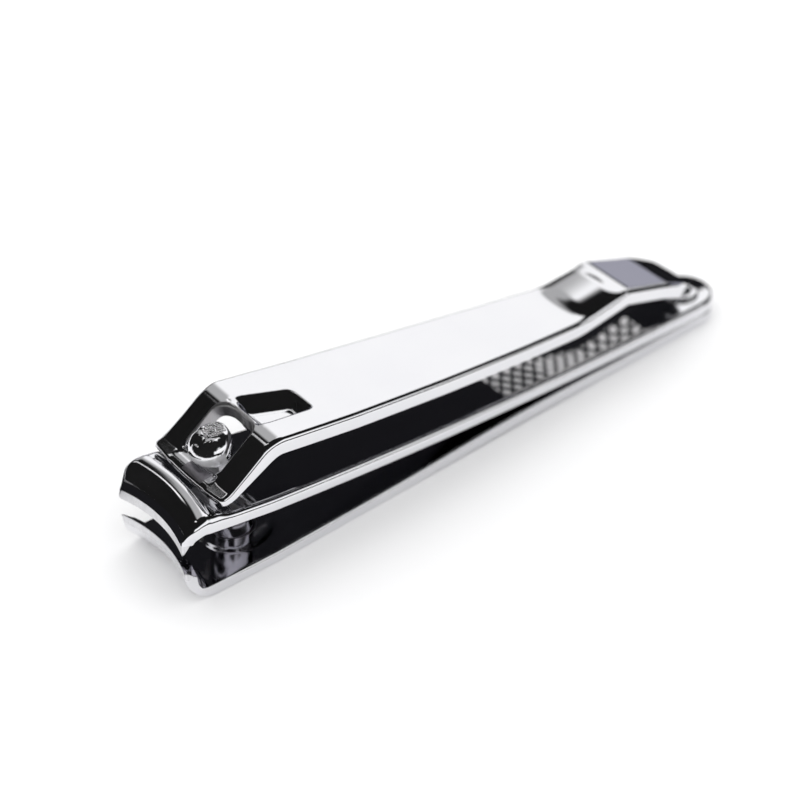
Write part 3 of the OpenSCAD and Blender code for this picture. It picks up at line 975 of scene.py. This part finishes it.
# ---------------------------------------------------------------- tail rivet
def make_tail_rivet():
    """Hollow rivet: a closed section turned round the vertical axis."""
    bore, shank = RIVET_BORE / 2, RIVET_D / 2
    top = 2 * STRIP_T
    section = [                          # radius, z
        (bore, 0.25), (bore + 0.07, 0.08), (bore + 0.25, 0.0),
        (shank + 0.55, 0.0), (shank + 0.66, 0.05), (shank, 0.69),
        (shank, top + 0.13), (shank + 0.75, top + 0.13), (shank + 0.88, top + 0.17),
        (shank + 0.88, top + 0.22), (shank + 0.78, top + 0.34), (shank + 0.55, top + 0.45),
        (shank + 0.2, top + 0.52), (bore + 0.25, top + 0.53), (bore + 0.07, top + 0.44),
        (bore, top + 0.28),
    ]
    turns, size = 72, len(section)
    points, faces = [], []
    for j in range(turns):
        angle = 2 * math.pi * j / turns
        points += [(RIVET_X + radius * math.cos(angle), radius * math.sin(angle), z)
                   for radius, z in section]
        here, following = j * size, (j + 1) % turns * size
        for i in range(size):
            k = (i + 1) % size
            faces.append((here + i, following + i, following + k, here + k))
    rivet = make_object("tail_rivet_visual", points, faces, [PIN_CHROME])
    rivet.data.set_sharp_from_angle(angle=math.radians(45))
    register(rivet, "tail_rivet", "base")


# ---------------------------------------------------------------- camera
CAMERA_AZIMUTH, CAMERA_ELEVATION, CAMERA_ROLL = -0.62670, 0.651680, -0.040991   # radians
# Camera place in mm from the cutting edge: to its right, up and back, then straight up in Z.
CAMERA_RIGHT, CAMERA_UP, CAMERA_BACK, CAMERA_RAISE = 27.636392, 14.04781, 250.83464, 7.138614
FOCAL_LENGTH, SENSOR_WIDTH = 102.1338, 36                                       # mm
FOCUS_DISTANCE, FOCUS_HEIGHT = 0.246, 0.012                                     # m


def make_camera():
    cos_azimuth, sin_azimuth = math.cos(CAMERA_AZIMUTH), math.sin(CAMERA_AZIMUTH)
    cos_elevation, sin_elevation = math.cos(CAMERA_ELEVATION), math.sin(CAMERA_ELEVATION)
    back = Vector((sin_azimuth * cos_elevation, -cos_azimuth * cos_elevation, sin_elevation))
    level_right = Vector((cos_azimuth, sin_azimuth, 0))
    level_up = back.cross(level_right)
    cos_roll, sin_roll = math.cos(CAMERA_ROLL), math.sin(CAMERA_ROLL)
    right = cos_roll * level_right + sin_roll * level_up
    up = -sin_roll * level_right + cos_roll * level_up
    place = CAMERA_RIGHT * right + CAMERA_UP * up + CAMERA_BACK * back
    place = Vector((place.x - LENGTH / 2, place.y, place.z + CAMERA_RAISE)) * 0.001

    data = bpy.data.cameras.new("camera")
    camera = bpy.data.objects.new("camera", data)
    bpy.context.scene.collection.objects.link(camera)
    rows = [(*row, offset) for row, offset in zip(zip(right, up, back), place)]
    camera.matrix_world = Matrix(rows + [(0, 0, 0, 1)])
    data.sensor_width = SENSOR_WIDTH
    data.lens = FOCAL_LENGTH
    data.clip_start = 0.01
    data.clip_end = 20
    bpy.context.scene.camera = camera

    # focus point in the plane y = 0, at the focus distance in front of the camera
    focus = bpy.data.objects.new("focus_point", None)
    bpy.context.scene.collection.objects.link(focus)
    depth = (place - Vector((0, 0, FOCUS_HEIGHT))).dot(back)
    focus.location = ((depth - FOCUS_DISTANCE) / back.x, 0, FOCUS_HEIGHT)
    data.dof.use_dof = True
    data.dof.focus_object = focus
    data.dof.aperture_fstop = 24


# ---------------------------------------------------------------- floor and surroundings
def make_floor():
    mesh = bpy.data.meshes.new("floor")
    half = 3.0                           # m
    corners = [(-half, -half, 0), (half, -half, 0), (half, half, 0), (-half, half, 0)]
    mesh.from_pydata(corners, [], [(0, 1, 2, 3)])
    floor = bpy.data.objects.new("floor", mesh)
    bpy.context.scene.collection.objects.link(floor)
    material, graph = new_material("floor_white")
    principled(graph, Base_Color=(0.93, 0.93, 0.935, 1), Roughness=0.75)
    mesh.materials.append(material)


def make_world():
    """Even white for the camera and soft light; a dark studio with bright patches for gloss."""
    world = bpy.data.worlds.new("studio")
    bpy.context.scene.world = world
    graph = NodeGraph(world)
    calc = graph.math
    degrees = 57.29578                   # per radian
    direction = graph.add("SeparateXYZ", {0: graph.coordinates("Generated")}).outputs
    azimuth = calc("MULTIPLY", calc("ARCTAN2", direction[1], direction[0]), degrees)
    elevation = calc("MULTIPLY", calc("ARCSINE", direction[2]), degrees)

    def step(value, centre, softness, target=(0, 1)):
        return graph.map_range(value, (centre - softness, centre + softness), target,
                               interpolation_type="SMOOTHSTEP")

    def band(value, limits, softness):
        return calc("MULTIPLY", step(value, limits[0], softness),
                    step(value, limits[1], softness, target=(1, 0)))

    def patch(azimuths, elevations, softness, brightness):
        """Bright rectangle of sky in degrees, azimuth from +X towards +Y."""
        area = calc("MULTIPLY", band(azimuth, azimuths, softness[0]),
                    band(elevation, elevations, softness[1]))
        return calc("MULTIPLY", area, brightness)

    # wall beyond the clipper from the camera, dimmer towards its left end
    wall = patch((12, 86), (18, 53), softness=(5, 3.5), brightness=1.17)
    dimming = calc("MULTIPLY", step(azimuth, 58, 5), 0.58)
    wall = calc("MULTIPLY", wall, calc("SUBTRACT", 1.0, dimming))
    # low, dim, slightly blue band on the same side
    table = patch((-5, 80), (-5, 9.5), softness=(8, 1.5), brightness=0.40)
    # strip to the camera's right, and a narrow slit high on its left
    strip = patch((-114, -40), (14, 36), softness=(5, 3), brightness=1.15)
    slit = patch((97, 104), (47, 66), softness=(1, 2), brightness=1.3)
    total = calc("ADD", wall, 0.010)     # faint glow everywhere
    for light in (table, strip, slit):
        total = calc("ADD", total, light)
    blue = calc("ADD", total, calc("MULTIPLY", table, 0.17))
    colour = graph.add("CombineColor", {0: total, 1: total, 2: blue}).outputs[0]

    white = graph.add("Background", {"Color": (1, 1, 1, 1), "Strength": 1.2})
    studio = graph.add("Background", {"Color": colour, "Strength": 1.0})
    glossy = graph.add("LightPath").outputs["Is Glossy Ray"]
    mix = graph.add("MixShader", {0: glossy, 1: white.outputs[0], 2: studio.outputs[0]})
    graph.add("OutputWorld", {"Surface": mix.outputs[0]})


# ---------------------------------------------------------------- black cards: painted shade seen only in reflections
CARD_Z = 0.02                            # lift above the floor
# Standing cards: x, y, height of the top edge.
# The standing cards are painted shade too: dark sheets seen only in reflections.
CARD_BEHIND = [
    (3, 9.4, 9.5), (6, 8.9, 10.5), (11, 8.9, 14.0), (14, 8.9, 17.4), (20, 8.7, 16.6),
    (38, 7.9, 13.9), (58, 6.7, 11.4), (67, 6.2, 11.8), (74, 5.9, 9.2), (79, 5.6, 9.3),
    (88, 5.2, 9.6), (106, 4.5, 9.0),
]
CARD_LEFT = [(-13.5, -4, 9.5), (-13, 6, 9.5), (-9, 13, 9.5), (0, 14.5, 9.5), (3, 9.4, 9.5)]
# Lying card, painted shade on the floor under and behind the clipper as seen in reflections: x,
# y.
CARD_FLOOR = [(9, 1.5), (106, 1.5), (106, 4.5), (58, 6.7), (38, 7.9), (20, 8.7), (9, 8.9)]


def make_painted_shade_card(name, points, faces):
    """Black card that shows only in reflections: painted shade standing in for the shaded floor
    and gaps round the clipper.
    """
    painted_shade = emission(name, colour=(0.012, 0.012, 0.014), strength=1.0)
    card = make_object(name, points, faces, [painted_shade])
    card.visible_camera = False
    card.visible_diffuse = False
    card.visible_shadow = False
    card.visible_transmission = False


def make_painted_shade_cards():
    for name, line in (("painted_shade_card_behind", CARD_BEHIND), ("painted_shade_card_left", CARD_LEFT)):
        points = [(x, y, z) for x, y, height in line for z in (CARD_Z, height)]
        faces = [(2 * i, 2 * i + 2, 2 * i + 3, 2 * i + 1) for i in range(len(line) - 1)]
        make_painted_shade_card(name, points, faces)
    make_painted_shade_card("painted_shade_card_floor", [(x, y, CARD_Z) for x, y in CARD_FLOOR],
              [tuple(range(len(CARD_FLOOR)))])


def make_key_light():
    """Soft disk high up towards +X and +Y, aimed at the origin, hidden from reflections."""
    data = bpy.data.lights.new("key", "AREA")
    data.shape = "DISK"
    data.size = 0.45
    data.energy = 0.42
    key = bpy.data.objects.new("key", data)
    bpy.context.scene.collection.objects.link(key)
    key.location = (0.30, 0.22, 0.62)
    key.rotation_euler = (-key.location).to_track_quat("-Z", "Y").to_euler()
    key.visible_glossy = False


make_upper_jaw()
make_lower_jaw()
make_lever()
make_pin()
make_tail_rivet()
make_camera()
make_floor()
make_world()
make_painted_shade_cards()
make_key_light()
bpy.context.scene.view_settings.view_transform = "Standard"
bpy.context.scene.view_settings.look = "None"
